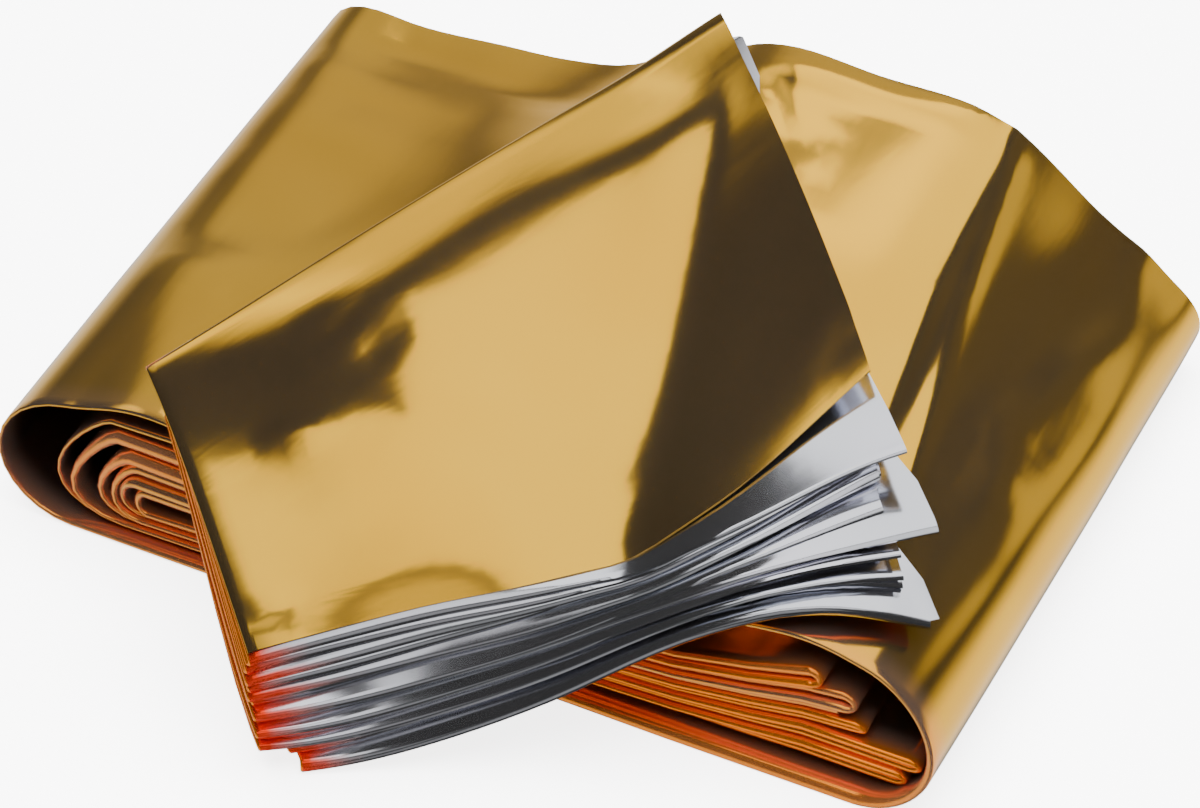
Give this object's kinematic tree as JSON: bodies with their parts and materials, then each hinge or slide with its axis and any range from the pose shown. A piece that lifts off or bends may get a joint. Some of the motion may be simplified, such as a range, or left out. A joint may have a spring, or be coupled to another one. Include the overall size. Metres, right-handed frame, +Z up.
{
  "type": "emergency foil blanket",
  "caption": "Gold and silver metallised film blanket, part wound in a flat roll and part folded back and forth into a pack that leans on the roll.",
  "frame": {"origin": "middle of the footprint box, on the surface the roll lies on", "axes": "+X to the right along the longest side, +Y to the far side, from the pack's near folds towards its far folds, +Z up"},
  "size_m": [0.3391, 0.3025, 0.1305],
  "materials": {
    "metallised_film": "mirror-bright metallised film, gold on one face and silver on the other"
  },
  "bodies": {
    "root": {"foil_blanket": "metallised_film"}
  },
  "joints": []
}
